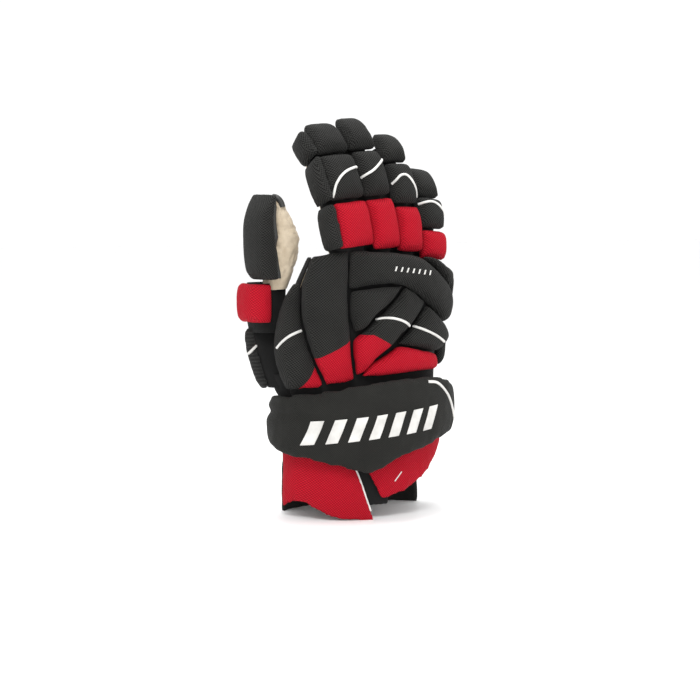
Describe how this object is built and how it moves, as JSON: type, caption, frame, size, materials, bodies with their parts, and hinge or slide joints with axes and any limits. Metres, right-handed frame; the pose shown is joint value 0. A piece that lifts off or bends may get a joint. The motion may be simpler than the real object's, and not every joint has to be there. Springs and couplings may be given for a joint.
{
  "type": "ice hockey glove",
  "caption": "Right-hand ice hockey glove with padded foam rolls on the hand and fingers, a reinforced thumb, a leather palm and a flared padded cuff.",
  "frame": {"origin": "middle of the outline seen from above, at the lowest edge of the cuff", "axes": "+Z from the cuff to the fingertips, -Y out of the back of the hand, -X to the thumb side"},
  "size_m": [0.2014, 0.1129, 0.3558],
  "materials": {
    "black_mesh": "woven nylon mesh",
    "red_mesh": "woven nylon mesh",
    "black_cloth": "knitted stall cloth",
    "ribbed_elastic": "ribbed elastic cloth",
    "cream_leather": "matt suede",
    "cream_patch": "matt suede",
    "grey_lining": "brushed lining",
    "insert_plastic": "plain moulded",
    "thumb_lock_plastic": "smooth moulded"
  },
  "bodies": {
    "hand": {"index_back_roll": "black_mesh", "knuckle_roll": "black_mesh", "pinky_knuckle_roll": "black_mesh", "triangle_roll": "black_mesh", "diagonal_roll": "black_mesh", "pinky_diagonal_roll": "black_mesh", "wrist_roll": "red_mesh", "thumb_side_roll": "black_mesh", "pinky_side_roll": "red_mesh", "pinky_heel_roll": "black_mesh", "ribbed_side_roll": "ribbed_elastic", "back_panel": "grey_lining", "back_insert": "insert_plastic", "palm_panel": "cream_leather", "palm_patch": "cream_patch", "crotch_panel": "cream_leather", "thumb_gusset": "ribbed_elastic"},
    "index_proximal": {"index_proximal_roll": "red_mesh", "index_proximal_stall": "black_cloth", "index_side_proximal_roll": "black_mesh"},
    "index_middle": {"index_middle_roll": "black_mesh", "index_middle_stall": "black_cloth", "index_side_middle_roll": "black_mesh"},
    "index_tip": {"index_tip_roll": "black_mesh", "index_tip_stall": "black_cloth", "index_side_tip_roll": "black_mesh"},
    "middle_proximal": {"middle_proximal_roll": "red_mesh", "middle_proximal_stall": "black_cloth"},
    "middle_middle": {"middle_middle_roll": "black_mesh", "middle_middle_stall": "black_cloth"},
    "middle_tip": {"middle_tip_roll": "black_mesh", "middle_tip_stall": "black_cloth"},
    "ring_proximal": {"ring_proximal_roll": "red_mesh", "ring_proximal_stall": "black_cloth"},
    "ring_middle": {"ring_middle_roll": "black_mesh", "ring_middle_stall": "black_cloth"},
    "ring_tip": {"ring_tip_roll": "black_mesh", "ring_tip_stall": "black_cloth"},
    "pinky_proximal": {"pinky_proximal_roll": "red_mesh", "pinky_proximal_stall": "black_cloth"},
    "pinky_middle": {"pinky_middle_roll": "black_mesh", "pinky_middle_stall": "black_cloth"},
    "pinky_tip": {"pinky_tip_roll": "black_mesh", "pinky_tip_stall": "black_cloth"},
    "thumb_base": {"thumb_base_stall": "black_cloth", "thumb_base_roll": "red_mesh"},
    "thumb": {"thumb_stall": "cream_leather", "thumb_roll": "black_mesh", "thumb_lock": "thumb_lock_plastic"},
    "cuff": {"cuff_roll": "black_mesh", "cuff_insert": "insert_plastic", "cuff_lining": "grey_lining", "cuff_flap_thumb": "red_mesh", "cuff_flap_pinky": "red_mesh", "cuff_gusset": "black_cloth", "cuff_palm_panel": "black_cloth"}
  },
  "joints": [
    {"name": "index_knuckle", "type": "hinge", "parent": "hand", "child": "index_proximal", "pos_m": [-0.01479, -0.01764, 0.23639], "axis": [-0.97, -0.2249, -0.0917], "range_deg": [-4, 50], "stiffness_Nm_per_rad": 0.05},
    {"name": "index_middle_joint", "type": "hinge", "parent": "index_proximal", "child": "index_middle", "pos_m": [-0.01999, -0.01096, 0.27497], "axis": [-0.97, -0.2249, -0.0917], "range_deg": [-6, 50], "stiffness_Nm_per_rad": 0.03},
    {"name": "index_tip_joint", "type": "hinge", "parent": "index_middle", "child": "index_tip", "pos_m": [-0.02655, 0.00266, 0.31092], "axis": [-0.97, -0.2249, -0.0917], "range_deg": [-3, 25], "stiffness_Nm_per_rad": 0.01},
    {"name": "middle_knuckle", "type": "hinge", "parent": "hand", "child": "middle_proximal", "pos_m": [0.0162, -0.01164, 0.23448], "axis": [-0.9712, -0.225, -0.0781], "range_deg": [-4, 50], "stiffness_Nm_per_rad": 0.05},
    {"name": "middle_middle_joint", "type": "hinge", "parent": "middle_proximal", "child": "middle_middle", "pos_m": [0.01101, -0.0042, 0.27753], "axis": [-0.9712, -0.225, -0.0781], "range_deg": [-6, 50], "stiffness_Nm_per_rad": 0.03},
    {"name": "middle_tip_joint", "type": "hinge", "parent": "middle_middle", "child": "middle_tip", "pos_m": [0.00477, 0.00984, 0.31468], "axis": [-0.9712, -0.225, -0.0781], "range_deg": [-3, 25], "stiffness_Nm_per_rad": 0.01},
    {"name": "ring_knuckle", "type": "hinge", "parent": "hand", "child": "ring_proximal", "pos_m": [0.04198, -0.00514, 0.2315], "axis": [-0.9744, -0.225, 0], "range_deg": [-4, 50], "stiffness_Nm_per_rad": 0.05},
    {"name": "ring_middle_joint", "type": "hinge", "parent": "ring_proximal", "child": "ring_middle", "pos_m": [0.04041, 0.00162, 0.27089], "axis": [-0.9744, -0.225, 0], "range_deg": [-6, 50], "stiffness_Nm_per_rad": 0.03},
    {"name": "ring_tip_joint", "type": "hinge", "parent": "ring_middle", "child": "ring_tip", "pos_m": [0.03753, 0.01413, 0.30431], "axis": [-0.9744, -0.225, 0], "range_deg": [-3, 25], "stiffness_Nm_per_rad": 0.01},
    {"name": "pinky_knuckle", "type": "hinge", "parent": "hand", "child": "pinky_proximal", "pos_m": [0.0677, 0.00286, 0.22457], "axis": [-0.9707, -0.225, 0.0849], "range_deg": [-4, 50], "stiffness_Nm_per_rad": 0.05},
    {"name": "pinky_middle_joint", "type": "hinge", "parent": "pinky_proximal", "child": "pinky_middle", "pos_m": [0.06887, 0.00709, 0.24918], "axis": [-0.9707, -0.225, 0.0849], "range_deg": [-6, 50], "stiffness_Nm_per_rad": 0.03},
    {"name": "pinky_tip_joint", "type": "hinge", "parent": "pinky_middle", "child": "pinky_tip", "pos_m": [0.0689, 0.01599, 0.27308], "axis": [-0.9707, -0.225, 0.0849], "range_deg": [-3, 25], "stiffness_Nm_per_rad": 0.01},
    {"name": "thumb_base_joint", "type": "hinge", "parent": "hand", "child": "thumb_base", "pos_m": [-0.0759, 0.0171, 0.172], "axis": [0.893, -0.45, 0], "range_deg": [-16, 5], "stiffness_Nm_per_rad": 0.08},
    {"name": "thumb_joint", "type": "hinge", "parent": "thumb_base", "child": "thumb", "pos_m": [-0.06811, 0.00862, 0.209], "axis": [0.7141, -0.7001, 0], "range_deg": [-14, 5], "stiffness_Nm_per_rad": 0.05},
    {"name": "cuff_hinge", "type": "hinge", "parent": "hand", "child": "cuff", "pos_m": [0.0071, -0.0549, 0.122], "axis": [-1, 0, 0], "range_deg": [0, 18], "stiffness_Nm_per_rad": 0.6}
  ],
  "couplings": [
    {"joint": "index_tip_joint", "follows": "index_middle_joint", "ratio": 0.5},
    {"joint": "middle_tip_joint", "follows": "middle_middle_joint", "ratio": 0.5},
    {"joint": "ring_tip_joint", "follows": "ring_middle_joint", "ratio": 0.5},
    {"joint": "pinky_tip_joint", "follows": "pinky_middle_joint", "ratio": 0.5}
  ]
}
